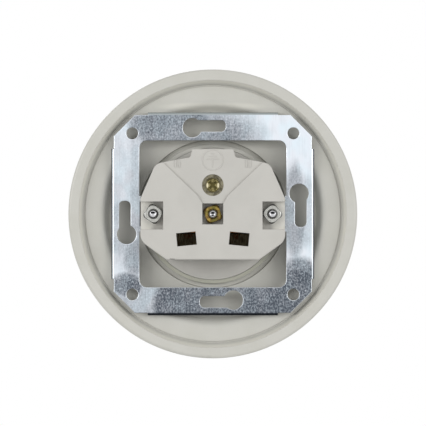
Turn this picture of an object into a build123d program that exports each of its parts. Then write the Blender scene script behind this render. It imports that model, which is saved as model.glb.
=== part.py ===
from build123d import *
import math
import os

# A flush wall socket with a round cover, as it hangs on the wall.
# +Z is up, the room is at -Y and the wall box at +Y. The wall's surface is y = 0,
# and the socket's axis is the Y axis. Sizes are in millimetres.

# Screws and nuts
screw_r = 1.48              # M3
screw_gap = 0.2             # round a screw where it has no thread
thread_gap = 0.02
pan_head_r = 2.75
pan_head_h = 1.8
sunk_head_r = 2.8
terminal_head_r = 2.3
terminal_head_h = 1.8
driver_w = 0.8
nut_side = 5.5
nut_corner_r = 1.2
frame_nut_h = 2.4
centre_nut_h = 1.8
thread_mouth = 0.35         # countersink of a nut's thread
screw_point = 0.4           # chamfer at a screw's end

# Plug pins
pin_pitch = 19.0
pin_r = 2.4
pin_gap = 0.3               # round a pin in the floor and the front plate
pin_reach = 19.0            # how far a plug's pins pass the well's floor
pin_tip_gap = 0.3

# Insert base, a moulded block
base_half_w = 24.75
back_wall = 4.3             # behind the tips of the pins
base_edge_r = 0.5
tongue_half_w = 7.0
tongue_flare = 0.7
tongue_top = 22.1
shoulder_z = 19.35          # where the sloping top edge meets the tongue
shoulder_drop = 2.15        # its fall to the shoulder
shoulder_inset = 5.25
side_top = 5.2
side_rise = 6.4             # from the bottom to the lower corner of the side
bottom_inset = 8.85
waist_inset = 0.9           # the part in front of the ears, inside the front plate
recess_d = 0.7              # wedge-shaped recess in the back
recess_x = 23.3
recess_z = 23.6
recess_bend_x = 5.2
recess_bend_z = 6.3
recess_bend_r = 6.0
rib_x = 12.1                # two short ribs on each side of the recess
rib_pitch = 1.3
rib_w = 0.45
rib_low = 15.9
rib_len = 2.6
rib_h = 0.3
gate_x = 13.8               # notch left by the mould's gate in the lower edge
gate_w = 1.7
gate_d = 0.35
nut_turn = 19.3             # how far the centre nut has turned in its hole
nut_hole_gap = 0.14
nut_floor_y = 5.2
pocket_wall = 3.45          # from a frame screw's axis to its pocket's inner side
pocket_top = 4.24
pocket_bottom = 5.3
pocket_floor_y = 6.5
screw_past_nut = 1.2
centre_past_nut = 0.5

# Mounting frame, pressed from sheet
sheet_t = 1.0
opening_gap = 0.65          # between the block's sides and the frame
opening_r = 2.6
limb_w = 8.8
frame_corner_cut = 7.3
corner_hole_r = 2.05
corner_hole_inset = 6.35
key_big_r = 3.35
key_slot_w = 4.0
key_slot_r = 1.6
key_inset = 4.4             # the round end, from the opening's edge
key_slot_shift = 0.6        # the slot lies this much further out
key_side = 7.1              # the round end's offset along the limb
key_slot_end = 4.5
flange_len = 45.0
flange_depth = 3.2
flange_out = 0.9            # how far the bent edge stands past the flat
bend_share = 0.9            # outer bend radius over the sheet's thickness
frame_screw_inset = 4.35    # from the block's side to the screw's axis
left_nut_turn = 50.0
right_nut_turn = 33.2
ear_w = 9.0
ear_drop = 1.5
ear_reach = 3.2             # past the screw's axis, inwards
ear_end_r = 2.0
ear_seat_gap = 4.1          # between the ears and the front plate
lug_w = 1.6
lug_gap = 0.15              # from the block's side
lug_split = 0.1

# Live and neutral terminals
cavity_back_y = 8.3
cavity_gap = 0.3
strip_t = 0.8
strip_half_w = 3.2
sleeve_gap = 0.05           # between the spring sleeve and a pin
sleeve_t = 0.7
sleeve_slit_w = 1.2
cage_shift = 0.5            # the clamp sits this much nearer the middle than the pin
cage_z = -8.55
cage_w = 8.8
cage_wall_side = 0.85
cage_window_h = 5.95
cage_wall_top = 0.85
cage_wall_bottom = 1.5
cage_front_y = 0.6
cage_back_gap = 1.1
tail_side_gap = 0.4
tail_past_cage = 0.4
ledge_t = 0.375             # under a terminal screw's head
head_sink = 0.1             # of a terminal screw below the block's lower face
window_w = 6.7
window_h = 4.5
window_tilt = 5.5

# Earth terminal
earth_t = 1.0
earth_w = 7.0
earth_bend_r = 0.4
earth_screw_z = 9.85
earth_head_r = 2.65
earth_head_h = 2.0
earth_well_gap = 1.05
earth_step_y = 1.3          # front of the raised step that carries the screw
earth_step_down = 4.65      # the step's lower and upper ends, from the screw
earth_step_up = 5.55
earth_wire_gap = 2.9        # between the step and the clamp plate
earth_past_step = 1.0
earth_clamp_w = 9.0
earth_clamp_h = 8.0
earth_clamp_t = 1.2
earth_side_gap = 1.0

# Front plate of the insert
plate_lap = 1.0             # past the wall of the well
plate_t = 3.0
notch_gap = 0.9             # round the frame screws' heads
notch_lap = 1.7

# Cup with the well for the plug
well_r = 19.9
well_draft = 0.5            # the well is this much wider at its mouth
well_depth = 17.5
well_wall = 2.0
floor_t = 2.0
guide_w = 4.8               # two guide ribs in the well, beside the pin holes
guide_h = 1.5
guide_len = 14.0
clip_wall_gap = 0.6         # from the middle of an earth contact to the well's wall
clip_bulge = 1.4
clip_bulge_y = 7.5          # the bulge, from the floor
clip_shoulder = 6.0
clip_tip_gap = 5.0          # the contact's tip, from the mouth
clip_slot_past = 2.0
clip_slot_out = 1.1
clip_slot_in = 0.7
clip_slot_side = 0.4
skirt_plate_gap = 0.08
skirt_t = 2.77
skirt_len = 2.6             # how far it reaches behind the cover's face
skirt_step_w = 1.5          # its outer edge is stepped back
skirt_step_d = 1.4
skirt_root = 1.0
flange_w = 2.85
flange_t = 2.6
collar_wall = 3.0           # at the lip
collar_flare = 1.5
lip_r = 1.2                 # rounding of the collar's front edge

# Round cover
cover_h = 9.6               # from the wall to the face that carries the cup
cover_t = 2.8               # wall thickness
cover_hole_gap = 0.08       # all round, between skirt and cover
cover_side_gap = 1.29       # from the frame's corners to the side of the recess
rim_w = 3.7                 # flat band that lies on the wall
rim_slope = 1.5             # how far the recess narrows towards its floor
rim_edge_r = 1.0
rim_floor_gap = 0.2         # from the frame's bent edges to the recess's floor
bead_h = 6.2
bead_w = 3.6
groove_w = 0.5
groove_d = 0.3
shelf_w = 5.2               # flat floor between the rim and the dome
slope_w = 5.6               # from the shelf down to the dome's inside
dome_wall = 2.3             # how far the dome's outside stands past its inside
quirk_d = 0.7               # fine channel round the front, inside the bead

# Levels along the axis, from the wall forwards
ear_back_y = -ear_drop
ear_front_y = ear_back_y - sheet_t
base_front_y = ear_front_y - ear_seat_gap
plate_front_y = base_front_y - plate_t
floor_y = plate_front_y - floor_t
lip_y = floor_y - well_depth
strap_back_y = plate_front_y + earth_t

# Levels from the wall backwards
pin_tip_y = floor_y + pin_reach + pin_tip_gap
base_back_y = pin_tip_y + back_wall
cage_back_y = cavity_back_y - cage_back_gap
cage_mid_y = (cage_front_y + cage_back_y) / 2
clamp_front_y = earth_step_y + earth_t + earth_wire_gap
clamp_back_y = clamp_front_y + earth_clamp_t
frame_screw_end_y = pocket_floor_y + frame_nut_h + screw_past_nut
centre_screw_end_y = nut_floor_y + centre_nut_h + centre_past_nut

# Widths and radii
frame_screw_x = base_half_w - frame_screw_inset
clear_r = screw_r + screw_gap
thread_r = screw_r + thread_gap
pin_x = pin_pitch / 2
pin_hole_r = pin_r + pin_gap
cage_x = pin_x - cage_shift
window_low = cage_z - cage_window_h / 2
window_high = cage_z + cage_window_h / 2
cavity_low = window_low - cage_wall_bottom - cavity_gap
base_bottom = -cavity_low + ledge_t + terminal_head_h + head_sink
nut_span = nut_side * (math.cos(math.radians(nut_turn)) + math.sin(math.radians(nut_turn)))
nut_hole = nut_span + nut_hole_gap
step_low = earth_screw_z - earth_step_down
step_high = earth_screw_z + earth_step_up
plate_r = well_r + well_wall + plate_lap
skirt_inner_r = plate_r + skirt_plate_gap
skirt_r = skirt_inner_r + skirt_t
flange_r = skirt_r + flange_w
clip_z = well_r - clip_wall_gap
opening_half = base_half_w + opening_gap
frame_half = opening_half + limb_w
frame_reach = math.hypot(frame_half, frame_half - frame_corner_cut)
dish_r = frame_reach + cover_side_gap
rim_inner_r = dish_r + rim_slope
cover_r = rim_inner_r + rim_w
rim_depth = flange_depth + rim_floor_gap

os.makedirs("parts", exist_ok=True)


# Helpers
def slab(x, y, z):
    """A box between pairs of limits."""
    size = [high - low for low, high in (x, y, z)]
    middle = [(low + high) / 2 for low, high in (x, y, z)]
    return Pos(*middle) * Box(*size)


def prism(outline, y):
    """An outline drawn in X and Z, carried along Y between two limits."""
    front, back = y
    return extrude(Plane.XZ.offset(-back) * outline, amount=back - front)


def turned(profile):
    """A closed profile of (radius, y) edges, turned once about the Y axis."""
    return revolve(make_face(profile), axis=Axis.Y)


def turned_corners(*corners):
    """A closed profile with straight sides, turned once about the Y axis."""
    return turned(Polyline(*corners, close=True).edges())


def rod(radius, y, x=0.0, z=0.0):
    """A round bar along Y."""
    return prism(Pos(x, z) * Circle(radius), y)


def upright(radius, z, x, y):
    """A round bar along Z."""
    low, high = z
    return Pos(x, y, (low + high) / 2) * Cylinder(radius, high - low)


def both_sides(corners):
    """A left-right symmetric outline from (x, z, corner radius) on the right side."""
    loop = corners + [(-x, z, r) for x, z, r in reversed(corners)]
    points = [(x, z) for x, z, r in loop]
    radii = [r for x, z, r in loop]
    return make_face(FilletPolyline(*points, radius=radii, close=True).edges())


def bent_sheet(middle_line, thickness, width, inner_r):
    """Sheet metal bent along a line of (z, y) points and carried across X."""
    plane = Plane((0, 0, 0), x_dir=(0, 0, 1), z_dir=(-1, 0, 0))
    line = FilletPolyline(*middle_line, radius=inner_r + thickness / 2)
    band = make_face(offset(line, thickness / 2, kind=Kind.ARC, side=Side.BOTH))
    return extrude(plane * band, amount=width / 2, both=True)


def cross_recess(y, reach, x=0.0, z=0.0):
    """Two crossed cuts for a driver, between two levels."""
    bars = Rectangle(2 * reach, driver_w) + Rectangle(driver_w, 2 * reach)
    return prism(Pos(x, z) * Rot(0, 0, 45) * bars, y)


# Cover
def cover():
    """Round cover: flat rim and shelf behind, a stepped dome and a bead in front."""
    hole_r = skirt_r + cover_hole_gap
    face_y = -cover_h
    back_y = face_y + cover_t
    bead_r = cover_r - bead_w
    ogee_r = bead_r - quirk_d
    groove_r = dish_r - groove_w
    shelf_r = dish_r - shelf_w
    dome_r = shelf_r - slope_w
    groove_y = -rim_depth - groove_d
    outline = [
        Line((hole_r, back_y), (hole_r, face_y)),
        Line((hole_r, face_y), (dome_r + dome_wall, face_y)),
        Spline((dome_r + dome_wall, face_y), (shelf_r + dome_wall, -bead_h), tangents=[(1, 0), (1, 0)]),
        Line((shelf_r + dome_wall, -bead_h), (ogee_r, -bead_h)),
        Line((ogee_r, -bead_h), (bead_r - quirk_d / 2, -bead_h + quirk_d)),
        Line((bead_r - quirk_d / 2, -bead_h + quirk_d), (bead_r, -bead_h)),
        JernArc((bead_r, -bead_h), (1, 0), bead_w, 90),
        Line((cover_r, -bead_h + bead_w), (cover_r, -rim_edge_r)),
        JernArc((cover_r, -rim_edge_r), (0, 1), rim_edge_r, 90),
        Line((cover_r - rim_edge_r, 0), (rim_inner_r, 0)),
        Line((rim_inner_r, 0), (dish_r, -rim_depth)),
        Line((dish_r, -rim_depth), (dish_r, groove_y)),
        Line((dish_r, groove_y), (groove_r, groove_y)),
        Line((groove_r, groove_y), (groove_r, -rim_depth)),
        Line((groove_r, -rim_depth), (shelf_r, -rim_depth)),
        Spline((shelf_r, -rim_depth), (dome_r, back_y), tangents=[(-1, 0), (-1, 0)]),
        Line((dome_r, back_y), (hole_r, back_y)),
    ]
    return turned(outline)


# Cup
def cup_body():
    """The turned form: floor, well, lip, collar, flange and the skirt behind it."""
    wall_r = well_r + well_wall
    step_r = skirt_r - skirt_step_w
    skirt_y = -cover_h + skirt_len
    root_y = -cover_h - skirt_root
    flange_y = -cover_h - flange_t
    edge_r = flange_t / 2
    lip_outer_r = well_r + well_draft + collar_wall
    inside = Polyline((wall_r, plate_front_y), (0, plate_front_y), (0, floor_y), (well_r, floor_y))
    outline = inside.edges() + [
        Line((well_r, floor_y), (well_r + well_draft, lip_y)),
        Line((well_r + well_draft, lip_y), (lip_outer_r - lip_r, lip_y)),
        JernArc((lip_outer_r - lip_r, lip_y), (1, 0), lip_r, 90),
        Line((lip_outer_r, lip_y + lip_r), (lip_outer_r + collar_flare, flange_y)),
        Line((lip_outer_r + collar_flare, flange_y), (flange_r - edge_r, flange_y)),
        JernArc((flange_r - edge_r, flange_y), (1, 0), edge_r, 180),
        Line((flange_r - edge_r, -cover_h), (skirt_r, -cover_h)),
    ]
    skirt = Polyline(
        (skirt_r, -cover_h),
        (skirt_r, skirt_y - skirt_step_d),
        (step_r, skirt_y - skirt_step_d),
        (step_r, skirt_y),
        (skirt_inner_r, skirt_y),
        (skirt_inner_r, root_y),
        (wall_r, root_y),
        (wall_r, plate_front_y),
    )
    return turned(outline + skirt.edges())


def clip_slots():
    """The pair of slots, above and below, that the earth contacts stand in."""
    low = clip_z - clip_bulge - clip_slot_in
    high = clip_z + earth_t / 2 + clip_slot_out
    slot = Pos(0, (low + high) / 2) * Rectangle(earth_w + 2 * clip_slot_side, high - low)
    tip_y = lip_y + clip_tip_gap
    upper = prism(slot, (tip_y - clip_slot_past, plate_front_y))
    return upper + mirror(upper, about=Plane.XY)


def screw_seat():
    """The countersunk hole for the centre screw."""
    mouth_r = sunk_head_r + screw_gap / 2
    seat_y = floor_y + mouth_r - clear_r
    return turned_corners(
        (0, floor_y),
        (mouth_r, floor_y),
        (clear_r, seat_y),
        (clear_r, plate_front_y),
        (0, plate_front_y),
    )


def cup():
    """Cup: the turned body with guide ribs, pin holes, contact slots and the screw's seat."""
    body = cup_body()
    into_wall = well_r + well_draft + collar_wall / 4
    for side in (-1, 1):
        rib_across = sorted((side * (well_r - guide_h), side * into_wall))
        body += slab(rib_across, (floor_y - guide_len, floor_y), (-guide_w / 2, guide_w / 2))
        body -= rod(pin_hole_r, (floor_y, plate_front_y), x=side * pin_x)
    return body - clip_slots() - screw_seat()


# Mounting frame
def quarter_turns(outline):
    """The same outline at four quarter turns about the axis."""
    return [Rot(0, 0, 90 * turn) * outline for turn in range(4)]


def keyhole():
    """A round end for the screw's head and a narrower slot along the limb."""
    radial = opening_half + key_inset
    middle = (key_slot_end - key_side) / 2
    slot = RectangleRounded(key_slot_w, key_side + key_slot_end, key_slot_r)
    round_end = Pos(radial, -key_side) * Circle(key_big_r)
    return Pos(radial + key_slot_shift, middle) * slot + round_end


def frame_sheet():
    """The flat of the frame: chamfered square, opening, keyholes and corner holes."""
    square = Rectangle(2 * frame_half, 2 * frame_half)
    flat = chamfer(square.vertices(), length=frame_corner_cut)
    flat -= RectangleRounded(2 * opening_half, 2 * opening_half, opening_r)
    corner = frame_half - corner_hole_inset
    corner_hole = Pos(corner, corner) * Circle(corner_hole_r)
    for cut in quarter_turns(keyhole()) + quarter_turns(corner_hole):
        flat -= cut
    return prism(flat, (-sheet_t, 0))


def frame_edge():
    """One bent edge, on the +X side, rounded where the sheet turns."""
    outer = frame_half + flange_out
    half_len = flange_len / 2
    edge = slab((outer - sheet_t, outer), (-flange_depth, 0), (-half_len, half_len))
    bend = edge.edges().filter_by(Axis.Z).sort_by(Axis.Y)[-2:].sort_by(Axis.X)[-1]
    return fillet(bend, bend_share * sheet_t)


def frame_ear():
    """One ear, on the +X side: stepped towards the room and turned in under the block."""
    riser_x = base_half_w + lug_gap
    outer_x = riser_x + sheet_t
    inner_x = frame_screw_x - ear_reach
    half_w = ear_w / 2
    tab = Pos((inner_x + outer_x) / 2, 0) * Rectangle(outer_x - inner_x, ear_w)
    tab = fillet(tab.vertices().sort_by(Axis.X)[:2], ear_end_r)
    tab -= Pos(frame_screw_x, 0) * Circle(clear_r)
    ear = prism(tab, (ear_front_y, ear_back_y))
    riser = slab((riser_x, outer_x), (ear_front_y, 0), (-half_w, half_w))
    bend = riser.edges().filter_by(Axis.Z).sort_by(Axis.Y)[:2].sort_by(Axis.X)[-1]
    ear += fillet(bend, bend_share * sheet_t)
    lug_start = half_w + lug_split
    for low in (lug_start, -lug_start - lug_w):
        ear += slab((riser_x, opening_half + lug_gap), (-sheet_t, 0), (low, low + lug_w))
    return ear


def mounting_frame():
    """Sheet-steel frame: flat, four bent edges and two ears."""
    frame = frame_sheet()
    edge = frame_edge()
    for turn in range(4):
        frame += Rot(0, 90 * turn, 0) * edge
    ear = frame_ear()
    return frame + ear + mirror(ear, about=Plane.YZ)


# Insert base
def base_outline():
    """The block from behind: a tongue on top, sloped shoulders, cut lower corners."""
    return both_sides(
        [
            (tongue_half_w, tongue_top, 0.4),
            (tongue_half_w + tongue_flare, shoulder_z, 1.0),
            (base_half_w - shoulder_inset, shoulder_z - shoulder_drop, 3.6),
            (base_half_w, side_top, 1.5),
            (base_half_w, side_rise - base_bottom, 4.5),
            (base_half_w - bottom_inset, -base_bottom, 0.6),
        ]
    )


def wedge_recess():
    """The shallow recess in the back, narrowing from the top edge to the square hole."""
    outline = both_sides(
        [
            (recess_x, recess_z, 0),
            (recess_bend_x, recess_bend_z, recess_bend_r),
            (nut_hole / 2, nut_hole / 2, 0.3),
        ]
    )
    return prism(outline, (base_back_y - recess_d, base_back_y + recess_d))


def recess_ribs():
    """Two short upright ribs on the right side of the recess."""
    middle = rib_low + rib_len / 2
    rib = Pos(rib_x, middle) * Rectangle(rib_w, rib_len)
    spread = Pos(rib_pitch / 2, 0) * rib + Pos(-rib_pitch / 2, 0) * rib
    return prism(spread, (base_back_y - 2 * recess_d, base_back_y - recess_d + rib_h))


def terminal_cuts():
    """Everything cut for one terminal, drawn on the right."""
    inner = cage_x - cage_w / 2 - cavity_gap
    outer = cage_x + cage_w / 2 + cavity_gap
    top = strip_half_w + 3 * cavity_gap
    cuts = slab((inner, outer), (base_front_y, cavity_back_y), (cavity_low, top))
    cuts += rod(pin_hole_r + cavity_gap, (base_front_y, pin_tip_y), x=pin_x)
    window = Pos(cage_x, cage_z) * Rot(0, 0, -window_tilt) * Rectangle(window_w, window_h)
    cuts += prism(window, (cavity_back_y - cavity_gap, base_back_y))
    head_top = -base_bottom + head_sink + terminal_head_h
    cuts += upright(terminal_head_r + cavity_gap, (-base_bottom, head_top), cage_x, cage_mid_y)
    return cuts + upright(clear_r, (head_top, cavity_low), cage_x, cage_mid_y)


def frame_screw_cuts():
    """The pocket for a frame nut and the hole for its screw, drawn on the right."""
    pocket = slab(
        (frame_screw_x - pocket_wall, base_half_w + opening_gap),
        (pocket_floor_y, base_back_y + recess_d),
        (-pocket_bottom, pocket_top),
    )
    return pocket + rod(clear_r, (ear_back_y, pocket_floor_y), x=frame_screw_x)


def earth_cuts():
    """Screw well, wire chamber open at the top, and room for the bracket's step."""
    step_half_w = earth_w / 2 + cavity_gap
    step_edge = earth_t / 2 + cavity_gap
    step_back_y = earth_step_y + earth_t
    half_w = earth_clamp_w / 2 + earth_side_gap
    chamber_low = earth_screw_z - earth_clamp_h / 2 - cavity_gap
    chamber_y = (step_back_y, clamp_back_y + cavity_gap)
    room = slab(
        (-step_half_w, step_half_w),
        (base_front_y, step_back_y),
        (step_low - step_edge, step_high + step_edge),
    )
    room += slab((-half_w, half_w), chamber_y, (chamber_low, tongue_top + recess_d))
    well = rod(earth_head_r + earth_well_gap, (clamp_front_y, base_back_y), z=earth_screw_z)
    return room + well


def insert_base():
    """The moulded block, with its pockets for nuts, contacts, clamps and the earth screw."""
    body = prism(base_outline(), (ear_back_y, base_back_y))
    body = fillet(body.faces().sort_by(Axis.Y)[-1].edges(), base_edge_r)
    waist_half_w = frame_screw_x - ear_reach - notch_gap
    waist = Circle(plate_r - waist_inset) & Rectangle(2 * waist_half_w, 2 * plate_r) & base_outline()
    body += prism(waist, (base_front_y, ear_back_y))
    body -= wedge_recess()
    ribs = recess_ribs()
    body += ribs + mirror(ribs, about=Plane.YZ)
    body -= prism(Rectangle(nut_hole, nut_hole), (nut_floor_y, base_back_y))
    body -= rod(clear_r, (base_front_y, nut_floor_y))
    body -= earth_cuts()
    for cuts in (terminal_cuts(), frame_screw_cuts()):
        body -= cuts
        body -= mirror(cuts, about=Plane.YZ)
    gate = Pos(gate_x, -base_bottom) * Rectangle(gate_w, 2 * gate_d)
    return body - prism(gate, (ear_back_y, base_back_y))


# Front plate
def front_plate():
    """Round plate that closes the block, with a channel for the earth strap in its front."""
    strap_half_w = earth_w / 2 + cavity_gap
    notch_x = frame_screw_x - pan_head_r - notch_gap
    notch_h = ear_w + 2 * notch_lap
    outline = Circle(plate_r)
    for side in (-1, 1):
        outline -= Pos(side * (notch_x + plate_r / 2), 0) * Rectangle(plate_r, notch_h)
        outline -= Pos(side * pin_x, 0) * Circle(pin_hole_r)
    outline -= Circle(clear_r)
    low = step_low - earth_t / 2 - cavity_gap
    high = step_high + earth_t / 2 + cavity_gap
    outline -= Pos(0, (low + high) / 2) * Rectangle(2 * strap_half_w, high - low)
    plate = prism(outline, (plate_front_y, base_front_y))
    reach = clip_z + earth_t / 2 + cavity_gap
    channel = slab((-strap_half_w, strap_half_w), (plate_front_y, strap_back_y), (-reach, reach))
    return plate - channel


# Screws and nuts
def centre_screw():
    """Centre screw: countersunk head flush with the well's floor, end past the nut."""
    neck_y = floor_y + sunk_head_r - screw_r
    screw = turned_corners(
        (0, floor_y),
        (sunk_head_r, floor_y),
        (screw_r, neck_y),
        (screw_r, centre_screw_end_y - screw_point),
        (screw_r - screw_point, centre_screw_end_y),
        (0, centre_screw_end_y),
    )
    return screw - cross_recess((floor_y, floor_y + 1.0), 1.7)


def frame_screw():
    """Frame screw on the +X side: pan head against the ear, end past the nut."""
    head_y = ear_front_y - pan_head_h
    head = rod(pan_head_r, (head_y, ear_front_y), x=frame_screw_x)
    head = fillet(head.edges().sort_by(Axis.Y)[0], pan_head_h / 2)
    head -= cross_recess((head_y, head_y + 1.1), 1.7, x=frame_screw_x)
    shank = rod(screw_r, (ear_front_y, frame_screw_end_y), x=frame_screw_x)
    return head + chamfer(shank.edges().sort_by(Axis.Y)[-1], screw_point)


def square_nut(turn, height, seat_y):
    """A pressed square nut on the axis: round corners, its back edge turned down."""
    corner_r = nut_side / math.sqrt(2) - nut_corner_r * (math.sqrt(2) - 1)
    square = Rot(0, 0, turn) * RectangleRounded(nut_side, nut_side, nut_corner_r)
    back_y = seat_y + height
    edge = corner_r - nut_side / 2
    blank = prism(square, (seat_y, back_y)) & turned_corners(
        (0, seat_y),
        (corner_r, seat_y),
        (corner_r, back_y - edge / 2),
        (corner_r - edge, back_y),
        (0, back_y),
    )
    thread = turned_corners(
        (0, seat_y),
        (thread_r, seat_y),
        (thread_r, back_y - thread_mouth),
        (thread_r + thread_mouth, back_y),
        (0, back_y),
    )
    return blank - thread


def frame_nut(side, turn):
    """The nut of one frame screw; side is 1 for +X and -1 for -X."""
    return Pos(side * frame_screw_x, 0, 0) * square_nut(turn, frame_nut_h, pocket_floor_y)


def terminal_screw():
    """Terminal screw on the right, its head in the lower side of the block."""
    head_low = -base_bottom + head_sink
    head_high = head_low + terminal_head_h
    head = upright(terminal_head_r, (head_low, head_high), cage_x, cage_mid_y)
    shank = upright(screw_r, (head_high, window_low), cage_x, cage_mid_y)
    slot = Pos(cage_x, cage_mid_y, head_low) * Box(2.2 * terminal_head_r, driver_w, terminal_head_h)
    return head + shank - slot


# Live and neutral terminals
def contact():
    """Right-hand contact: a strip on the front plate, a split sleeve, a tail into the clamp."""
    bore_r = pin_r + sleeve_gap
    strip_back_y = base_front_y + strip_t
    sleeve_end_y = cavity_back_y - cavity_gap
    tail_half_w = cage_w / 2 - cage_wall_side - tail_side_gap
    tail_low = window_high - strip_t
    across = (pin_x - strip_half_w, pin_x + strip_half_w)
    strip = slab(across, (base_front_y, strip_back_y), (tail_low, strip_half_w))
    sleeve = rod(bore_r + sleeve_t, (base_front_y, sleeve_end_y), x=pin_x)
    sleeve -= slab(
        (pin_x - 2 * bore_r, pin_x + 2 * bore_r),
        (strip_back_y + sleeve_slit_w, sleeve_end_y),
        (-sleeve_slit_w / 2, sleeve_slit_w / 2),
    )
    tail = slab(
        (cage_x - tail_half_w, cage_x + tail_half_w),
        (base_front_y, cage_back_y + tail_past_cage),
        (tail_low, window_high),
    )
    return strip + sleeve + tail - rod(bore_r, (base_front_y, sleeve_end_y), x=pin_x)


def clamp():
    """Right-hand wire clamp: a cage round the tail, threaded for the terminal screw."""
    depth = (cage_front_y, cage_back_y)
    half_w = cage_w / 2
    inner = half_w - cage_wall_side
    low = window_low - cage_wall_bottom
    cage = slab((cage_x - half_w, cage_x + half_w), depth, (low, window_high + cage_wall_top))
    cage -= slab((cage_x - inner, cage_x + inner), depth, (window_low, window_high))
    return cage - upright(thread_r, (low, window_low), cage_x, cage_mid_y)


# Earth terminal
def earth_bracket():
    """One strap: a contact in the well at each end and a raised step for the earth screw."""
    strap_y = plate_front_y + earth_t / 2
    step_y = earth_step_y + earth_t / 2
    bulge_y = floor_y - clip_bulge_y
    press_z = clip_z - clip_bulge
    upper = [
        (clip_z, bulge_y + clip_shoulder),
        (press_z, bulge_y),
        (clip_z, lip_y + clip_tip_gap),
    ]
    lower = [(-z, y) for z, y in reversed(upper)]
    strap = [
        (-clip_z, strap_y),
        (step_low, strap_y),
        (step_low, step_y),
        (step_high, step_y),
        (step_high, strap_y),
        (clip_z, strap_y),
    ]
    bracket = bent_sheet(lower + strap + upper, earth_t, earth_w, earth_bend_r)
    bracket -= rod(clear_r, (plate_front_y, strap_back_y))
    return bracket - rod(thread_r, (earth_step_y, earth_step_y + earth_t), z=earth_screw_z)


def earth_clamp():
    """Clamp plate under the earth screw's head."""
    outline = Rectangle(earth_clamp_w, earth_clamp_h) - Circle(clear_r)
    return prism(Pos(0, earth_screw_z) * outline, (clamp_front_y, clamp_back_y))


def earth_screw():
    """Earth screw: pan head seen in its round well, shank through clamp and bracket."""
    head_y = clamp_back_y + earth_head_h
    head = rod(earth_head_r, (clamp_back_y, head_y), z=earth_screw_z)
    head = fillet(head.edges().sort_by(Axis.Y)[-1], earth_head_h / 3)
    head -= cross_recess((head_y - 1.1, head_y), 1.6, z=earth_screw_z)
    return head + rod(screw_r, (earth_step_y - earth_past_step, clamp_back_y), z=earth_screw_z)


def pair(right_name, left_name, shape):
    """A piece drawn at +X and its mirror image at -X."""
    return {right_name: shape, left_name: mirror(shape, about=Plane.YZ)}


pieces = {
    "cover": cover(),
    "socket_cup": cup(),
    "mounting_frame": mounting_frame(),
    "insert_base": insert_base(),
    "insert_front_plate": front_plate(),
    "centre_screw": centre_screw(),
    "centre_nut": square_nut(-nut_turn, centre_nut_h, nut_floor_y),
    "frame_nut_right": frame_nut(1, right_nut_turn),
    "frame_nut_left": frame_nut(-1, left_nut_turn),
    "earth_bracket": earth_bracket(),
    "earth_clamp": earth_clamp(),
    "earth_screw": earth_screw(),
}
pieces |= pair("frame_screw_right", "frame_screw_left", frame_screw())
pieces |= pair("live_contact", "neutral_contact", contact())
pieces |= pair("live_clamp", "neutral_clamp", clamp())
pieces |= pair("live_terminal_screw", "neutral_terminal_screw", terminal_screw())

for name, shape in pieces.items():
    export_step(shape, f"parts/{name}.step")
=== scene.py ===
import math

import bpy
import numpy as np
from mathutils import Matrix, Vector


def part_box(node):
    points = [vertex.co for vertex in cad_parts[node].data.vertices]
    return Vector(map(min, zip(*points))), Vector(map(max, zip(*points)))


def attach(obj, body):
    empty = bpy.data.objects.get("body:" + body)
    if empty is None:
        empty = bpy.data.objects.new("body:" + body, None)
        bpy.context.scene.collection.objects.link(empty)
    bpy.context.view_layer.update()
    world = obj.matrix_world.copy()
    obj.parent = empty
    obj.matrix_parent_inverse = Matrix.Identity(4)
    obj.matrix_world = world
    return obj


# A flush wall socket seen from the wall box: round cover, pressed frame, terminal block.
# The wall box side is +Y, so +X is at the left there. Comments say left and right as seen
# from the wall box, and the names of nodes say them as seen from the room. Lengths are in
# millimetres until they reach a mesh or a socket.
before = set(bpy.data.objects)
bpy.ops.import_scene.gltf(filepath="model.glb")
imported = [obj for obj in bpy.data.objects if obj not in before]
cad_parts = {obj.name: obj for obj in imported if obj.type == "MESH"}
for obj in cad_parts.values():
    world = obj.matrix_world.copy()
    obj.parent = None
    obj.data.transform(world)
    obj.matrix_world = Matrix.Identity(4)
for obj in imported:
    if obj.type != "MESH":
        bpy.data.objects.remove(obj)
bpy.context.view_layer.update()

MM = 0.001


# Places read from the frame
def box_mm(node):
    """The lowest and highest corner of a node, in millimetres."""
    low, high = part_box(node)
    return np.array(low) / MM, np.array(high) / MM


def middle_mm(node):
    """The middle of a node's box, in millimetres."""
    low, high = box_mm(node)
    return (low + high) / 2


frame_low, frame_high = box_mm("mounting_frame")
block_back = box_mm("insert_base")[1][1]
earth_back = box_mm("earth_screw")[1][1]
earth_z = middle_mm("earth_screw")[2]
nut_x = middle_mm("frame_nut_right")[0]


# Colour
def tone(red, green, blue):
    """Screen values from 0 to 255 turned into a linear colour."""
    share = np.array([red, green, blue]) / 255
    linear = np.where(share <= 0.04045, share / 12.92, ((share + 0.055) / 1.055) ** 2.4)
    return (*linear.tolist(), 1.0)


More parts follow.
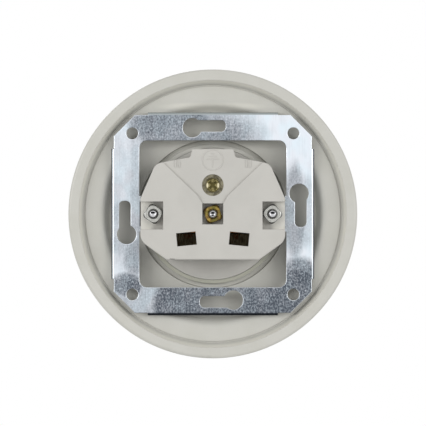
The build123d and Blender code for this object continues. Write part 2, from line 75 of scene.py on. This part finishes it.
# Node trees
class Finish:
    """One material: short calls add nodes and return their output sockets."""

    DEPTH_FADE = 0.2        # how softly a patch or a ring ends along Y
    TOP_FADE = 8.0          # how softly a ring ends upwards
    RIM_FADE = (0.02, -0.05)     # past the ring's outer radius

    def __init__(self, name):
        self.material = bpy.data.materials.new(name)
        self.material.use_nodes = True
        self.nodes = self.material.node_tree.nodes
        self.links = self.material.node_tree.links
        self.shader = self.nodes["Principled BSDF"]
        self.place = self.add("ShaderNodeTexCoord").outputs["Object"]

    def add(self, kind, **settings):
        """A new node with these settings."""
        node = self.nodes.new(kind)
        for key, value in settings.items():
            setattr(node, key, value)
        return node

    def feed(self, socket, value):
        """Link a socket, or set it when the value is a plain number or colour."""
        if isinstance(value, bpy.types.NodeSocket):
            self.links.new(value, socket)
        else:
            socket.default_value = value

    def set(self, **values):
        """Set sockets of the shader; underscores stand for spaces."""
        for key, value in values.items():
            self.feed(self.shader.inputs[key.replace("_", " ")], value)

    def math(self, operation, first, second=0.0, clamp=False):
        """One sum, product or comparison of two values."""
        node = self.add("ShaderNodeMath", operation=operation, use_clamp=clamp)
        self.feed(node.inputs[0], first)
        self.feed(node.inputs[1], second)
        return node.outputs[0]

    def all_of(self, *shares):
        """Product of the shares: 1 only where every one is 1."""
        product = shares[0]
        for share in shares[1:]:
            product = self.math("MULTIPLY", product, share)
        return product

    def total(self, *values):
        """Sum of the values."""
        sum_so_far = values[0]
        for value in values[1:]:
            sum_so_far = self.math("ADD", sum_so_far, value)
        return sum_so_far

    def length(self, first, second):
        """Square root of the sum of two squares."""
        squares = (self.math("MULTIPLY", side, side) for side in (first, second))
        return self.math("SQRT", self.total(*squares))

    def parts(self, vector):
        """The X, Y and Z of a vector."""
        node = self.add("ShaderNodeSeparateXYZ")
        self.feed(node.inputs[0], vector)
        return node.outputs

    def stretched(self, across, deep, up):
        """Object coordinates with one cell of a pattern this many millimetres wide."""
        node = self.add("ShaderNodeMapping")
        self.feed(node.inputs["Vector"], self.place)
        node.inputs["Scale"].default_value = (1 / (across * MM), 1 / (deep * MM), 1 / (up * MM))
        return node.outputs[0]

    def noise(self, across, deep=None, up=None, detail=2.0, roughness=0.5):
        """Noise from 0 to 1; its cells are this many millimetres along X, Y and Z."""
        node = self.add("ShaderNodeTexNoise")
        self.feed(node.inputs["Vector"], self.stretched(across, deep or across, up or across))
        node.inputs["Scale"].default_value = 1.0
        node.inputs["Detail"].default_value = detail
        node.inputs["Roughness"].default_value = roughness
        return node.outputs["Fac"]

    def range(self, value, low, high, to_low=0.0, to_high=1.0, smooth=True):
        """Carry one range of values over to another, held at its ends."""
        kind = "SMOOTHSTEP" if smooth else "LINEAR"
        node = self.add("ShaderNodeMapRange", interpolation_type=kind)
        self.feed(node.inputs["Value"], value)
        self.feed(node.inputs["From Min"], low)
        self.feed(node.inputs["From Max"], high)
        self.feed(node.inputs["To Min"], to_low)
        self.feed(node.inputs["To Max"], to_high)
        return node.outputs["Result"]

    def passing(self, length, start, end):
        """Rises from 0 to 1 while a length goes from start to end, in millimetres."""
        return self.range(length, start * MM, end * MM)

    def blend(self, share, first, second):
        """The first colour, turned into the second where the share is 1."""
        node = self.add("ShaderNodeMix", data_type="RGBA")
        self.feed(node.inputs[0], share)
        self.feed(node.inputs[6], first)
        self.feed(node.inputs[7], second)
        return node.outputs[2]

    def spot(self, x, z, half_x, half_z, soft):
        """1 inside an oval on the X-Z plane, falling to 0 over a share of its size."""
        place = self.parts(self.place)
        dx = self.math("DIVIDE", self.math("SUBTRACT", place[0], x * MM), half_x * MM)
        dz = self.math("DIVIDE", self.math("SUBTRACT", place[2], z * MM), half_z * MM)
        return self.range(self.length(dx, dz), 1 + soft, 1.0)

    def patch(self, x, z, half_x, half_z, soft, low_y, high_y):
        """1 in an oval on the X-Z plane, between two depths."""
        depth = self.parts(self.place)[1]
        return self.all_of(
            self.spot(x, z, half_x, half_z, soft),
            self.passing(depth, low_y - self.DEPTH_FADE, low_y),
            self.passing(depth, high_y + self.DEPTH_FADE, high_y),
        )

    def ring(self, inner_r, fade, outer_r, low_y, top_z):
        """1 on a band round the Y axis that fades in outwards, behind low_y and below top_z."""
        x, y, z = self.parts(self.place)
        radius = self.length(x, z)
        return self.all_of(
            self.passing(radius, inner_r, inner_r + fade),
            self.passing(radius, *(outer_r + past for past in self.RIM_FADE)),
            self.passing(y, low_y - self.DEPTH_FADE, low_y + self.DEPTH_FADE),
            self.passing(z, top_z, top_z - self.TOP_FADE),
        )

    def flank(self, level, steep):
        """1 on faces that turn away from the Y axis; both limits are the normal's share of Y."""
        normal = self.parts(self.add("ShaderNodeNewGeometry").outputs["Normal"])
        return self.range(self.math("ABSOLUTE", normal[1]), level, steep)

    def relief(self, height, depth, normal=None):
        """Bump from a height of 0 to 1 that stands this many millimetres deep."""
        node = self.add("ShaderNodeBump")
        node.inputs["Distance"].default_value = depth * MM
        self.feed(node.inputs["Height"], height)
        if normal is not None:
            self.feed(node.inputs["Normal"], normal)
        return node.outputs[0]

    def soft_edges(self, radius):
        """Normals rounded over sharp edges."""
        node = self.add("ShaderNodeBevel", samples=6)
        node.inputs["Radius"].default_value = radius * MM
        return node.outputs[0]


# Moulded plastic
DUST = tone(150, 146, 136)

# Painted light and shade on the mouldings: places painted paler or darker than the rest
# painted highlight on the cover rim's inner slope, paler than the rest
RIM_SLOPE_PAINTED_HIGHLIGHT = {"inner_r": 45.0, "fade": 0.8, "outer_r": 46.3, "low_y": -3.8, "top_z": 60.0}
# painted shade on the lower half of the cup's skirt end, below the block
SKIRT_END_PAINTED_SHADE = {"inner_r": 22.6, "fade": 0.2, "outer_r": 24.4, "low_y": -7.6, "top_z": 0.0}
# painted light on the cover above the frame's top edge, where the frame's shadow falls
ABOVE_FRAME_PAINTED_LIGHT = {
    "x": 0.0, "half_x": 9.0,
    "z": 37.2, "half_z": 0.8,
    "soft": 1.4, "low_y": -6.8, "high_y": -3.2,
}
# painted light on the floors of the nut pockets
NUT_POCKETS_PAINTED_LIGHT = [
    {
        "x": x, "half_x": 2.2,
        "z": -0.6, "half_z": 4.6,
        "soft": 0.7, "low_y": 6.3, "high_y": 6.7,
    }
    for x in (-22.8, 22.8)
]


def moulded_plastic(name, colour, shade, roughness, edge, rings=(), patches=()):
    """Satin moulded plastic with faint flow clouds, dust specks and a fine grain.

    Each ring or patch is a painted light or shade: a tone and the sizes that Finish.ring or
    Finish.patch asks for.
    """
    finish = Finish(name)
    clouds = finish.range(finish.noise(9.0, detail=3.0), 0.3, 0.7)
    specks = finish.range(finish.noise(0.35, detail=1.0), 0.66, 0.78)
    body = finish.blend(clouds, colour, shade)
    body = finish.blend(finish.math("MULTIPLY", specks, 0.12), body, DUST)
    # painted light and shade, ring by ring and patch by patch
    for there, sizes in rings:
        body = finish.blend(finish.ring(**sizes), body, there)
    for there, sizes in patches:
        body = finish.blend(finish.patch(**sizes), body, there)
    grain = finish.noise(0.22, detail=2.0)
    finish.set(
        Base_Color=body,
        Roughness=finish.range(clouds, 0.0, 1.0, roughness - 0.03, roughness + 0.05),
        IOR=1.5,
        Normal=finish.relief(grain, 0.012, finish.soft_edges(edge)),
    )
    return finish.material


# Dull patches on the frame's zinc, partly real mottled wear and partly painted reflection of darker
# surroundings in the warped sheet: x, z, half sizes, softness and strength of each dull patch
WEAR_AND_PAINTED_REFLECTION = [
    (14.5, 31.0, 12.0, 7.0, 0.5, 0.86),      # top limb, left part
    (-1.0, 26.5, 7.0, 4.5, 2.2, 0.8),        # top limb, inner edge
    (30.0, 5.0, 5.0, 20.0, 0.8, 0.26),       # left limb, a faint haze
    (26.3, 5.0, 1.6, 26.0, 1.2, 0.42),       # left limb, inner edge
    (30.0, -5.0, 6.0, 8.0, 0.6, 0.46),       # left limb, round its keyhole
    (27.0, -15.0, 3.0, 5.0, 0.8, 0.66),      # left limb, three blotches downwards
    (29.5, -24.5, 4.0, 3.2, 0.8, 0.88),
    (27.5, -25.5, 2.0, 3.0, 0.6, 1.0),
    (25.0, -29.0, 8.0, 8.0, 0.5, 0.52),      # lower left corner
    (-3.0, -31.5, 21.8, 16.0, 0.25, 1.0),    # bottom limb
    (-28.0, -29.0, 9.0, 9.0, 0.5, 1.03),     # lower right corner
    (-30.0, -20.5, 4.5, 3.8, 0.9, 0.85),     # right limb, lowest part
    (-28.5, 1.0, 3.0, 12.5, 0.6, 0.62),      # right limb, inner side
    (-30.0, 1.0, 6.0, 10.0, 0.5, 0.36),      # right limb, round its keyhole
]
FULL_WEAR = 1.15            # the share of wear and painted reflection that gives the darkest zinc
GAP_SHADOW_X = (24.0, 25.4)       # painted shadow in the gap beside the left lugs, between block and frame
GAP_SHADOW_HALF_Z = 4.4
SIDE_IN = np.array((0.7, 0.4))          # how far in from the frame's edge these fade in
TOP_BEND_IN = np.array((1.0, 0.7))
LOW_BEND_IN = np.array((1.1, 0.6))


def zinc_wear_and_reflection(finish, streaks):
    """Dull patches alone, partly wear and partly painted reflection, and the same with grit, flecks,
    drift and rolling lines on top.
    """
    grit = finish.noise(0.55, 0.55, 0.75, detail=2.0, roughness=0.6)
    sparks = finish.noise(0.7, 0.7, 0.9, detail=1.0)
    drift = finish.noise(4.0, 4.0, 6.0, detail=2.0)
    patches = 0.0
    for x, z, half_x, half_z, soft, strength in WEAR_AND_PAINTED_REFLECTION:
        patch = finish.math("MULTIPLY", finish.spot(x, z, half_x, half_z, soft), strength)
        patches = finish.math("MAXIMUM", patches, patch)
    share = finish.total(
        patches,
        finish.math("MULTIPLY", patches, finish.range(grit, 0.3, 0.7, -0.3, 0.3, smooth=False)),
        finish.math("MULTIPLY", patches, finish.range(sparks, 0.62, 0.72, 0.0, -0.3)),
        finish.range(drift, 0.3, 0.7, -0.07, 0.07),
        finish.range(streaks, 0.3, 0.7, -0.05, 0.05),
    )
    return patches, share


def zinc_edges(finish, body, rounded):
    """Painted highlights on cut edges, painted shade on the frame's outer sides, in the gap beside the
    left lugs and on faces turned away from Y, and painted reflections on the bends.
    """
    turn = finish.parts(rounded)
    x, _, z = finish.parts(finish.place)
    sideways = finish.math("ABSOLUTE", turn[0])
    # painted highlight: cut edges whose rounded normal faces up or sideways are paler
    lit = finish.range(finish.math("MAXIMUM", sideways, turn[2]), 0.1, 0.3)
    body = finish.blend(lit, body, tone(230, 235, 240))
    # painted shade on the frame's outer sides
    painted_outer_side_shade = finish.all_of(
        finish.range(sideways, 0.25, 0.5),
        finish.passing(finish.math("ABSOLUTE", x), *(frame_high[0] - SIDE_IN)),
    )
    body = finish.blend(painted_outer_side_shade, body, tone(92, 96, 102))
    # painted shadow in the gap beside the left lugs, between block and frame
    painted_gap_shadow = finish.all_of(
        finish.passing(x, GAP_SHADOW_X[1], GAP_SHADOW_X[1] - 0.15),
        finish.passing(x, GAP_SHADOW_X[0], GAP_SHADOW_X[0] + 0.1),
        finish.passing(finish.math("ABSOLUTE", z), GAP_SHADOW_HALF_Z, GAP_SHADOW_HALF_Z - 0.3),
    )
    body = finish.blend(painted_gap_shadow, body, tone(54, 56, 62))
    # painted reflections: grey on the top bend, nearly black on the lower bend
    painted_top_bend_reflection = finish.passing(z, *(frame_high[2] - TOP_BEND_IN))
    body = finish.blend(painted_top_bend_reflection, body, tone(160, 167, 168))
    painted_low_bend_reflection = finish.passing(z, *(frame_low[2] + LOW_BEND_IN))
    body = finish.blend(painted_low_bend_reflection, body, tone(34, 38, 44))
    # painted shade on faces turned away from Y
    return finish.blend(finish.flank(0.3, 0.15), body, tone(150, 155, 160))


def zinc_sheet():
    """Bright zinc on rolled sheet: fine streaks, dull mottled patches that are partly painted
    reflection, painted highlights on cut edges.
    """
    finish = Finish("zinc_sheet")
    rounded = finish.soft_edges(0.42)
    streaks = finish.noise(0.45, 0.45, 9.0, detail=3.0, roughness=0.6)
    patches, share = zinc_wear_and_reflection(finish, streaks)
    tint = finish.range(finish.noise(5.0, 5.0, 7.0, detail=1.0), 0.35, 0.65)
    bright = finish.blend(tint, tone(223, 234, 242), tone(227, 232, 239))
    dull = finish.math("DIVIDE", share, FULL_WEAR, clamp=True)
    body = finish.blend(dull, bright, tone(80, 86, 95))
    finish.set(
        Base_Color=zinc_edges(finish, body, rounded),
        Metallic=1.0,
        Roughness=finish.range(patches, 0.0, 1.0, 0.34, 0.5),
        Normal=finish.relief(streaks, 0.008, rounded),
    )
    return finish.material


# Metal of nuts, screws and contacts
def edge_line(finish, face, flat, turned, middles, hole_r):
    """1 on a nut's outer edge, where its rounded normal turns, but not round its hole; there the
    painted edge shade goes.
    """
    holes = 0.0
    for x in middles:
        holes = finish.math("MAXIMUM", holes, finish.spot(x, 0, hole_r, hole_r, 0.05))
    return finish.all_of(finish.range(face, flat, turned), finish.math("SUBTRACT", 1.0, holes))


def plated_steel():
    """Bright zinc on pressed nuts and screws: painted highlights on chamfers, painted shade on outer
    edges and sides, fine scuffs.
    """
    finish = Finish("screw_steel")
    face = finish.math("ABSOLUTE", finish.parts(finish.soft_edges(0.9))[1])
    scuffs = finish.noise(0.8, detail=2.0, roughness=0.5)
    body = finish.blend(finish.range(scuffs, 0.3, 0.7), tone(192, 192, 187), tone(160, 160, 155))
    # painted highlight: chamfers, where the rounded normal tilts, are paler
    body = finish.blend(finish.range(face, 0.995, 0.97), body, tone(218, 218, 213))
    # painted shade along the nuts' outer edges
    painted_edge_shade = edge_line(finish, face, 0.95, 0.86, (nut_x, -nut_x), 2.2)
    body = finish.blend(painted_edge_shade, body, tone(62, 64, 64))
    # painted shade on faces turned away from Y
    body = finish.blend(finish.flank(0.3, 0.15), body, tone(140, 142, 142))
    finish.set(
        Base_Color=body,
        Metallic=0.7,
        Roughness=finish.range(scuffs, 0.3, 0.7, 0.26, 0.36),
        Normal=finish.relief(scuffs, 0.01, finish.soft_edges(0.12)),
    )
    return finish.material


def yellow_zinc():
    """Yellow-passivated steel: olive, straw and brown clouds, painted shade on its sides and outer
    edge.
    """
    finish = Finish("yellow_zinc")
    clouds = finish.noise(2.0, detail=2.0)
    veins = finish.noise(1.1, detail=2.0)
    body = finish.blend(finish.range(clouds, 0.4, 0.6), tone(196, 166, 84), tone(132, 122, 58))
    body = finish.blend(finish.range(veins, 0.5, 0.65, 0.0, 0.7), body, tone(112, 78, 48))
    # painted shade on faces turned away from Y
    body = finish.blend(finish.flank(0.5, 0.25), body, tone(48, 40, 26))
    face = finish.math("ABSOLUTE", finish.parts(finish.soft_edges(0.8))[1])
    # painted shade along the nut's outer edge
    painted_edge_shade = edge_line(finish, face, 0.93, 0.83, (0.0,), 2.3)
    body = finish.blend(painted_edge_shade, body, tone(96, 72, 38))
    finish.set(
        Base_Color=body,
        Metallic=0.6,
        Roughness=finish.range(clouds, 0.3, 0.7, 0.25, 0.4),
        Normal=finish.relief(finish.noise(0.3), 0.02, finish.soft_edges(0.15)),
    )
    return finish.material


def brass(name, light, dark, roughness):
    """Rolled brass, slightly tarnished."""
    finish = Finish(name)
    clouds = finish.noise(2.2, detail=4.0, roughness=0.6)
    lines = finish.noise(0.12, 0.12, 3.0, detail=2.0)
    finish.set(
        Base_Color=finish.blend(finish.range(clouds, 0.35, 0.65), light, dark),
        Metallic=1.0,
        Roughness=finish.range(clouds, 0.3, 0.7, roughness, roughness + 0.14),
        Normal=finish.relief(lines, 0.01, finish.soft_edges(0.15)),
    )
    return finish.material


GLINT_X = 1.9               # of the two painted glints on the earth screw's head, from its axis
GLINT_DROP = 0.1
HEAD_FACE_R = 2.3           # the flat of the head; its edge has painted light


def earth_head():
    """Olive brass with painted shadow in the driver recess, two painted glints beside it and painted
    light on the head's edge.
    """
    finish = Finish("earth_brass")
    depth = finish.parts(finish.place)[1]
    clouds = finish.noise(0.55, detail=2.0)
    body = finish.blend(finish.range(clouds, 0.4, 0.6), tone(152, 142, 96), tone(98, 89, 48))
    # two painted glints
    for side in (-1, 1):
        glint = finish.spot(GLINT_X * side, earth_z - GLINT_DROP, 0.26, 0.6, 0.8)
        body = finish.blend(glint, body, tone(246, 236, 200))
    # painted shadow in the driver recess
    painted_recess_shadow = finish.passing(depth, earth_back - 0.25, earth_back - 0.6)
    body = finish.blend(painted_recess_shadow, body, tone(98, 90, 44))
    # painted light on the head's edge, outside its flat
    edge = finish.math("SUBTRACT", 1.0, finish.spot(0, earth_z, HEAD_FACE_R, HEAD_FACE_R, 0.08))
    body = finish.blend(edge, body, tone(214, 208, 180))
    finish.set(
        Base_Color=body,
        Metallic=0.6,
        Roughness=0.3,
        Normal=finish.relief(clouds, 0.05, finish.soft_edges(0.2)),
    )
    return finish.material


def cupped_end(name, x, z, rim_r, painted_black_reflections):
    """A screw's cupped end: pale steel in the middle, painted shade round it, and painted black
    reflections where the hollow would mirror the room.
    """
    finish = Finish(name)
    # painted shade round the pale middle
    body = finish.blend(finish.spot(x, z, rim_r, rim_r, 0.15), tone(104, 104, 106), tone(200, 200, 202))
    for across, up, half_x, half_z in painted_black_reflections:
        # painted black reflection
        dark = finish.spot(x + across, z + up, half_x, half_z, 0.25)
        body = finish.blend(dark, body, tone(14, 14, 18))
    finish.set(Base_Color=body, Metallic=0.8, Roughness=0.22)
    return finish.material


COPPER_RUB = (8.6, -7.5, 1.0, 0.9, 0.9)      # x, z, half sizes and softness of the bright spot


def copper_pad():
    """Brown tarnished copper, rubbed bright along its ridges near the top."""
    finish = Finish("copper_pad")
    x, *rest = COPPER_RUB
    ridges = finish.noise(0.35, 0.35, 3.0, detail=1.0)
    rubbed = finish.math("MAXIMUM", finish.spot(-x, *rest), finish.spot(x, *rest))
    rubbed = finish.math("MULTIPLY", rubbed, finish.range(ridges, 0.4, 0.6))
    clouds = finish.noise(1.4, detail=2.0)
    dark = finish.blend(finish.range(clouds, 0.35, 0.65), tone(106, 100, 76), tone(132, 126, 100))
    finish.set(
        Base_Color=finish.blend(rubbed, dark, tone(106, 64, 30)),
        Metallic=0.5,
        Roughness=0.55,
        Normal=finish.relief(ridges, 0.01),
    )
    return finish.material


# Meshes
def piece(name, points, faces, material):
    """A mesh object at the origin from points in millimetres."""
    mesh = bpy.data.meshes.new(name)
    mesh.from_pydata((np.asarray(points) * MM).tolist(), [], [list(f) for f in faces])
    mesh.update()
    mesh.shade_smooth()
    mesh.materials.append(material)
    thing = bpy.data.objects.new(name, mesh)
    bpy.context.collection.objects.link(thing)
    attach(thing, "root")
    return thing


def grid_faces(rows, columns, wrap_rows=False, wrap_columns=False):
    """Quads of a grid whose point (i, j) has the index i * columns + j."""
    i, j = np.meshgrid(
        np.arange(rows if wrap_rows else rows - 1),
        np.arange(columns if wrap_columns else columns - 1),
        indexing="ij",
    )
    i, j = i.ravel(), j.ravel()
    below, beside = (i + 1) % rows, (j + 1) % columns
    corners = [i * columns + j, i * columns + beside, below * columns + beside, below * columns + j]
    return np.stack(corners, axis=1)


def full_turn(steps):
    """Equal angles once round, without the last, which is the first again."""
    return np.linspace(0, 2 * math.pi, steps, endpoint=False)


# Swept and turned pieces
def closed_tube(name, path, across, up, material, sides=10):
    """Tube with an oval section: path + across cos t beside it + up sin t towards +Y.

    The half sizes across and up are given for each point, and are 0 at both ends.
    """
    path, across, up = (np.asarray(values, dtype=float) for values in (path, across, up))
    run = np.gradient(path, axis=0)
    run /= np.linalg.norm(run, axis=1, keepdims=True)
    beside = np.cross(run, (0, 1, 0))
    angle = full_turn(sides)
    sideways = across[:, None, None] * np.cos(angle)[None, :, None] * beside[:, None, :]
    upwards = up[:, None, None] * np.sin(angle)[None, :, None] * np.array((0, 1, 0))
    points = (path[:, None, :] + sideways + upwards)[1:-1].reshape(-1, 3)
    return capped(name, points, path[0], path[-1], len(path) - 2, sides, material)


def capped(name, points, first, last, rows, sides, material):
    """A wrapped grid of points, closed by a fan to one more point at each end."""
    ring = np.arange(sides)
    after = (ring + 1) % sides
    top = (rows - 1) * sides
    low_fan = np.stack([np.full(sides, len(points)), after, ring], axis=1)
    high_fan = np.stack([np.full(sides, len(points) + 1), top + ring, top + after], axis=1)
    faces = grid_faces(rows, sides, wrap_columns=True).tolist() + low_fan.tolist() + high_fan.tolist()
    return piece(name, np.vstack([points, first, last]), faces, material)


def turned_piece(name, profile, x, z, material, sides=48):
    """(x + r sin t, y, z + r cos t) for a profile of (r, y); its first point is the pole."""
    radius, y = np.asarray(profile, dtype=float).T
    r, turn = np.meshgrid(radius[1:], full_turn(sides), indexing="ij")
    height = np.repeat(y[1:], sides)
    ring = np.stack([x + (r * np.sin(turn)).ravel(), height, z + (r * np.cos(turn)).ravel()], axis=1)
    points = np.vstack([ring, (x, y[0], z)])
    index = np.arange(sides)
    fan = np.stack([np.full(sides, len(ring)), index, (index + 1) % sides], axis=1)
    faces = grid_faces(len(profile) - 1, sides, wrap_columns=True)
    return piece(name, points, faces[:, ::-1].tolist() + fan.tolist(), material)


# Earth mark in the recess, upside down as hung: a ring, three bars and a stem
MARK_HEIGHT = 0.16
MARK_HALF_LINE = 0.2
MARK_Z = 18.4
MARK_R = 3.48
MARK_BARS = [(18.7, 2.3), (19.6, 1.4), (20.5, 0.6)]      # height and half length of each
MARK_STEM = (18.7, 15.8)
MARK_STEPS = 25
RECESS_DEPTH = 0.7          # of the recess in the block's back that the mark stands in
MARK_LEVEL = block_back - RECESS_DEPTH


def mark_line(name, ends, material):
    """Raised line between two (x, z) ends; its half sizes are scaled by sqrt(1 - |s| ^ 16)."""
    share = np.linspace(0, 1, MARK_STEPS)
    (x0, z0), (x1, z1) = ends
    level = np.full(MARK_STEPS, MARK_LEVEL)
    path = np.stack([x0 + (x1 - x0) * share, level, z0 + (z1 - z0) * share], axis=1)
    full = (1 - np.abs(2 * share - 1) ** 16) ** 0.5
    return closed_tube(name, path, MARK_HALF_LINE * full, MARK_HEIGHT * full, material)


def mark_ring(material, steps=96, sides=12):
    """Raised ring: (r + w cos s) turned by t, with its height h sin s."""
    turn, ridge = np.meshgrid(full_turn(steps), full_turn(sides), indexing="ij")
    radius = MARK_R + MARK_HALF_LINE * np.cos(ridge)
    level = MARK_LEVEL + MARK_HEIGHT * np.sin(ridge)
    points = np.stack([radius * np.sin(turn), level, MARK_Z + radius * np.cos(turn)], axis=-1)
    faces = grid_faces(steps, sides, wrap_rows=True, wrap_columns=True)
    return piece("earth_mark_ring", points.reshape(-1, 3), faces, material)


def earth_mark(material):
    """The ring, its bars from the longest to the shortest, and the stem below them."""
    mark_ring(material)
    for count, (z, half) in enumerate(MARK_BARS):
        mark_line(f"earth_mark_bar_{count}", [(-half, z), (half, z)], material)
    mark_line("earth_mark_stem", [(0, end) for end in MARK_STEM], material)


# Wire stops: one plate across the front of each wire clamp, seen through its window
STOP_X = 9.0
STOP_Z = -9.2
STOP_HALF_X = 3.9
STOP_HALF_Z = 2.75
STOP_HALF_T = 0.2
STOP_RIDGE = 0.1
STOP_PITCH = 0.9
STOP_BACK = 0.6
STOP_STEPS = 105


def wire_stop(name, side, material):
    """Ridged plate: its middle line waves as y + h cos(2 pi x / pitch) along X."""
    across = np.linspace(-STOP_HALF_X, STOP_HALF_X, STOP_STEPS)
    wave = STOP_RIDGE * np.cos(2 * math.pi * across / STOP_PITCH)
    level = STOP_BACK - STOP_HALF_T - STOP_RIDGE
    path = np.stack([side * STOP_X + across, level + wave, np.full(STOP_STEPS, STOP_Z)], axis=1)
    full = (1 - np.abs(across / STOP_HALF_X) ** 24) ** 0.5
    return closed_tube(name, path, STOP_HALF_Z * full, STOP_HALF_T * full, material, sides=24)


# Screw ends: radius and reach past the thread's end of a cup, a round rim and a cone
END_PROFILE = [
    (0.0, 0.02),
    (0.35, 0.03),
    (0.72, 0.1),
    (0.85, 0.15),
    (1.0, 0.15),
    (1.12, 0.04),
    (1.3, -0.14),
    (1.47, -0.33),
    (1.48, -0.42),
]

# The pale rim's radius, then x, z and half sizes of each painted black reflection in the hollow
ENDS = {
    "centre_screw": (1.5, [(0.0, 0.34, 0.6, 0.34), (0.05, -0.5, 0.45, 0.2)]),
    "frame_screw_left": (1.05, [(-0.1, 0.38, 0.7, 0.36)]),
    "frame_screw_right": (1.05, [(0.1, 0.42, 0.7, 0.32)]),
}


def screw_end(node):
    """Rolled end of a screw: (x + r sin t, y, z + r cos t), with (r, y) from END_PROFILE."""
    x, _, z = middle_mm(node)
    end = box_mm(node)[1][1]
    profile = [(radius, end + past) for radius, past in END_PROFILE]
    material = cupped_end(f"{node}_end", x, z, *ENDS[node])
    return turned_piece(f"{node}_end", profile, x, z, material)


# Studio, in metres and watts
WORLD_LEVEL = 0.115
LAMP_SIZE = (0.7, 0.4)
LAMPS = {
    "left_box": ((0.85, 0.85, 0.22), 4.5),
    "right_box": ((-0.85, 0.85, 0.22), 3.98),
    "front_box": ((0.35, -0.9, 0.5), 3.0),
}
FLOOR_HALF = 0.5
FLOOR_Z = -0.12
FLOOR_FADE = (0.28, 0.48)
CAMERA_PLACE = (-0.00007, 0.9, 0.00031)      # on the axis, as near as the photograph is
LENS = 219.95
SENSOR = 36.0


def surroundings():
    """White where the camera and reflections look, and a low even light on the object."""
    world = bpy.data.worlds.new("studio")
    bpy.context.scene.world = world
    world.use_nodes = True
    nodes, links = world.node_tree.nodes, world.node_tree.links
    path = nodes.new("ShaderNodeLightPath")
    shown = None
    for ray in ("Is Camera Ray", "Is Glossy Ray", "Is Transmission Ray"):
        either = nodes.new("ShaderNodeMath")
        either.operation = "MAXIMUM"
        links.new(path.outputs[ray], either.inputs[0])
        if shown:
            links.new(shown, either.inputs[1])
        shown = either.outputs[0]
    level = nodes.new("ShaderNodeMapRange")
    level.inputs["To Min"].default_value = WORLD_LEVEL
    level.inputs["To Max"].default_value = 1.0
    links.new(shown, level.inputs["Value"])
    links.new(level.outputs["Result"], nodes["Background"].inputs["Strength"])
    nodes["Background"].inputs["Color"].default_value = (1, 1, 1, 1)


def lamps():
    """A soft box on each side and a weaker one in front, all aimed at the object."""
    for name, (place, power) in LAMPS.items():
        lamp = bpy.data.lights.new(name, "AREA")
        lamp.shape = "RECTANGLE"
        lamp.size, lamp.size_y = LAMP_SIZE
        lamp.energy = power
        thing = bpy.data.objects.new(name, lamp)
        bpy.context.collection.objects.link(thing)
        thing.location = place
        thing.rotation_euler = (-thing.location).to_track_quat("-Z", "Y").to_euler()


def floor():
    """A pale round floor under the socket; its rim fades into the white surroundings."""
    finish = Finish("floor")
    x, y, _ = finish.parts(finish.place)
    finish.set(Base_Color=(0.86, 0.86, 0.86, 1), Roughness=0.9, Emission_Color=(1, 1, 1, 1))
    clear = finish.add("ShaderNodeBsdfTransparent")
    mix = finish.add("ShaderNodeMixShader")
    finish.feed(mix.inputs[0], finish.range(finish.length(x, y), *FLOOR_FADE))
    finish.links.new(finish.shader.outputs[0], mix.inputs[1])
    finish.links.new(clear.outputs[0], mix.inputs[2])
    finish.links.new(mix.outputs[0], finish.nodes["Material Output"].inputs["Surface"])
    corners = [
        (FLOOR_HALF * side, FLOOR_HALF * end, FLOOR_Z)
        for side, end in ((-1, -1), (1, -1), (1, 1), (-1, 1))
    ]
    mesh = bpy.data.meshes.new("floor")
    mesh.from_pydata(corners, [], [(0, 1, 2, 3)])
    mesh.materials.append(finish.material)
    thing = bpy.data.objects.new("floor", mesh)
    bpy.context.collection.objects.link(thing)


def camera():
    """A long lens on the socket's axis, behind the wall, as in the photograph."""
    lens = bpy.data.cameras.new("camera")
    lens.sensor_width = SENSOR
    lens.lens = LENS
    lens.clip_start, lens.clip_end = 0.01, 20
    thing = bpy.data.objects.new("camera", lens)
    bpy.context.collection.objects.link(thing)
    thing.location = CAMERA_PLACE
    thing.rotation_euler = (math.radians(90), 0, math.radians(180))
    bpy.context.scene.camera = thing


# Finish of each node; what isn't named is plated steel
COVER_TONES = (tone(203, 202, 195), tone(199, 198, 190))
INSERT_TONES = (tone(199, 197, 191), tone(194, 192, 186))

# the cover: painted highlight on its rim's inner slope and painted light above the frame's top edge
cover_plastic = moulded_plastic(
    "cover_plastic", *COVER_TONES, 0.42, 0.5,
    rings=[(tone(224, 222, 212), RIM_SLOPE_PAINTED_HIGHLIGHT)],
    patches=[(tone(222, 220, 210), ABOVE_FRAME_PAINTED_LIGHT)],
)
# the cup: painted shade on the lower half of its skirt end
cup_plastic = moulded_plastic(
    "cup_plastic", *COVER_TONES, 0.42, 0.25,
    rings=[(tone(184, 184, 170), SKIRT_END_PAINTED_SHADE)],
)
# the insert: painted light on the floors of its nut pockets
insert_plastic = moulded_plastic(
    "insert_plastic", *INSERT_TONES, 0.5, 0.18,
    patches=[(tone(226, 224, 216), sizes) for sizes in NUT_POCKETS_PAINTED_LIGHT],
)
steel = plated_steel()
tarnished = brass("tarnished_brass", tone(150, 104, 62), tone(92, 58, 32), 0.36)

NODE_FINISH = {
    "cover": cover_plastic,
    "socket_cup": cup_plastic,
    "insert_base": insert_plastic,
    "insert_front_plate": insert_plastic,
    "mounting_frame": zinc_sheet(),
    "centre_nut": yellow_zinc(),
    "earth_bracket": brass("contact_brass", tone(206, 178, 110), tone(140, 108, 60), 0.3),
    "earth_clamp": brass("olive_brass", tone(190, 184, 160), tone(148, 142, 122), 0.4),
    "earth_screw": earth_head(),
    "live_contact": tarnished,
    "neutral_contact": tarnished,
    "live_clamp": tarnished,
    "neutral_clamp": tarnished,
}
for name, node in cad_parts.items():
    node.data.materials.clear()
    node.data.materials.append(NODE_FINISH.get(name, steel))

# Pieces that only the scene has
earth_mark(insert_plastic)
pad = copper_pad()
wire_stop("live_wire_stop", 1, pad)
wire_stop("neutral_wire_stop", -1, pad)
for name in ENDS:
    screw_end(name)

surroundings()
lamps()
floor()
camera()
bpy.context.scene.view_settings.view_transform = "Standard"
